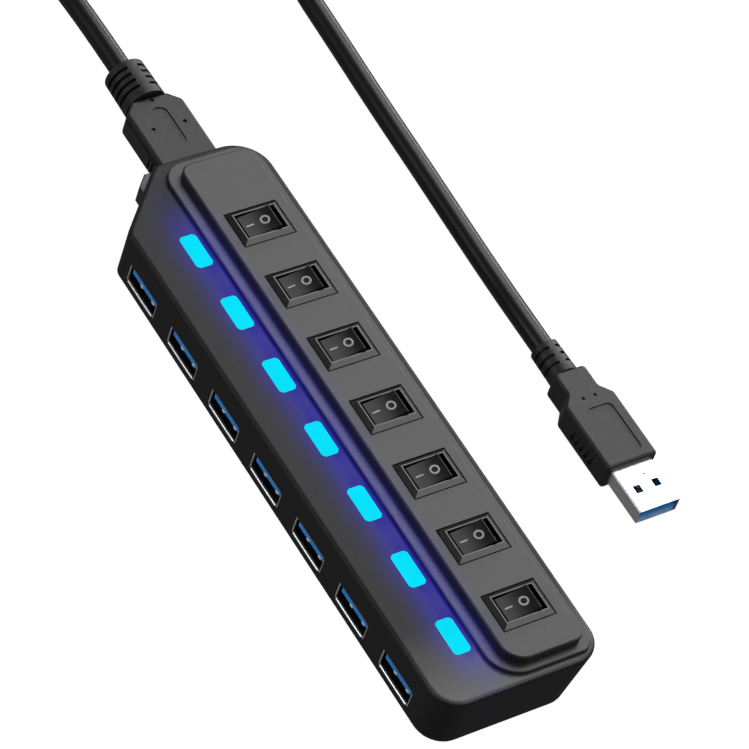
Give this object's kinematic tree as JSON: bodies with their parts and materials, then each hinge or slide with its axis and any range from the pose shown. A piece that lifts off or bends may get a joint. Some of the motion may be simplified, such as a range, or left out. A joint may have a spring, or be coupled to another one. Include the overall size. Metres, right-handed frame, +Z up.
{
  "type": "usb hub",
  "caption": "Low bar-shaped USB hub with a row of side ports, lit status windows, rocker switches on a raised panel, a cut corner and a plug-in lead that ends in a USB-A plug.",
  "frame": {"origin": "middle of the case's footprint, on the table under the feet", "axes": "+X along the case from the lead's end to the plain end, -Y out of the port face, +Z up"},
  "size_m": [0.2828, 0.1018, 0.0212],
  "materials": {
    "case": "satin",
    "panel": "satin",
    "bezel": "gloss",
    "rocker": "satin",
    "light": "translucent",
    "port_steel": "satin",
    "plug_steel": "satin",
    "tongue": "satin",
    "contacts": "satin",
    "board": "satin",
    "chips": "matt",
    "screws": "satin",
    "feet": "matt",
    "grip": "satin",
    "cord": "satin",
    "inlet": "satin"
  },
  "bodies": {
    "root": {"case_screws": "screws", "circuit_board": "board", "hub_chips": "chips", "hub_plug_body": "grip", "hub_plug_shell": "plug_steel", "hub_strain_relief": "grip", "lead_cord": "cord", "light_window_1": "light", "light_window_2": "light", "light_window_3": "light", "light_window_4": "light", "light_window_5": "light", "light_window_6": "light", "light_window_7": "light", "lower_shell": "case", "port_contacts": "contacts", "port_shell_1": "port_steel", "port_shell_2": "port_steel", "port_shell_3": "port_steel", "port_shell_4": "port_steel", "port_shell_5": "port_steel", "port_shell_6": "port_steel", "port_shell_7": "port_steel", "port_tongue_1": "tongue", "port_tongue_2": "tongue", "port_tongue_3": "tongue", "port_tongue_4": "tongue", "port_tongue_5": "tongue", "port_tongue_6": "tongue", "port_tongue_7": "tongue", "power_pin": "screws", "power_socket": "inlet", "rubber_feet": "feet", "status_leds": "light", "switch_body_1": "bezel", "switch_body_2": "bezel", "switch_body_3": "bezel", "switch_body_4": "bezel", "switch_body_5": "bezel", "switch_body_6": "bezel", "switch_body_7": "bezel", "switch_panel": "panel", "switch_terminals": "contacts", "uplink_socket": "port_steel", "upper_shell": "case", "usb_plug_body": "grip", "usb_plug_contacts": "contacts", "usb_plug_insulator": "tongue", "usb_plug_shell": "plug_steel", "usb_strain_relief": "grip"},
    "rocker_1": {"rocker_1": "rocker"},
    "rocker_2": {"rocker_2": "rocker"},
    "rocker_3": {"rocker_3": "rocker"},
    "rocker_4": {"rocker_4": "rocker"},
    "rocker_5": {"rocker_5": "rocker"},
    "rocker_6": {"rocker_6": "rocker"},
    "rocker_7": {"rocker_7": "rocker"}
  },
  "joints": [
    {"name": "rocker_1_tilt", "type": "hinge", "parent": "root", "child": "rocker_1", "pos_m": [-0.055, 0.00765, 0.0172], "axis": [1, 0, 0], "range_deg": [-20.6, 0]},
    {"name": "rocker_2_tilt", "type": "hinge", "parent": "root", "child": "rocker_2", "pos_m": [-0.035, 0.00765, 0.0172], "axis": [1, 0, 0], "range_deg": [-20.6, 0]},
    {"name": "rocker_3_tilt", "type": "hinge", "parent": "root", "child": "rocker_3", "pos_m": [-0.015, 0.00765, 0.0172], "axis": [1, 0, 0], "range_deg": [-20.6, 0]},
    {"name": "rocker_4_tilt", "type": "hinge", "parent": "root", "child": "rocker_4", "pos_m": [0.005, 0.00765, 0.0172], "axis": [1, 0, 0], "range_deg": [-20.6, 0]},
    {"name": "rocker_5_tilt", "type": "hinge", "parent": "root", "child": "rocker_5", "pos_m": [0.025, 0.00765, 0.0172], "axis": [1, 0, 0], "range_deg": [-20.6, 0]},
    {"name": "rocker_6_tilt", "type": "hinge", "parent": "root", "child": "rocker_6", "pos_m": [0.045, 0.00765, 0.0172], "axis": [1, 0, 0], "range_deg": [-20.6, 0]},
    {"name": "rocker_7_tilt", "type": "hinge", "parent": "root", "child": "rocker_7", "pos_m": [0.065, 0.00765, 0.0172], "axis": [1, 0, 0], "range_deg": [-20.6, 0]}
  ]
}
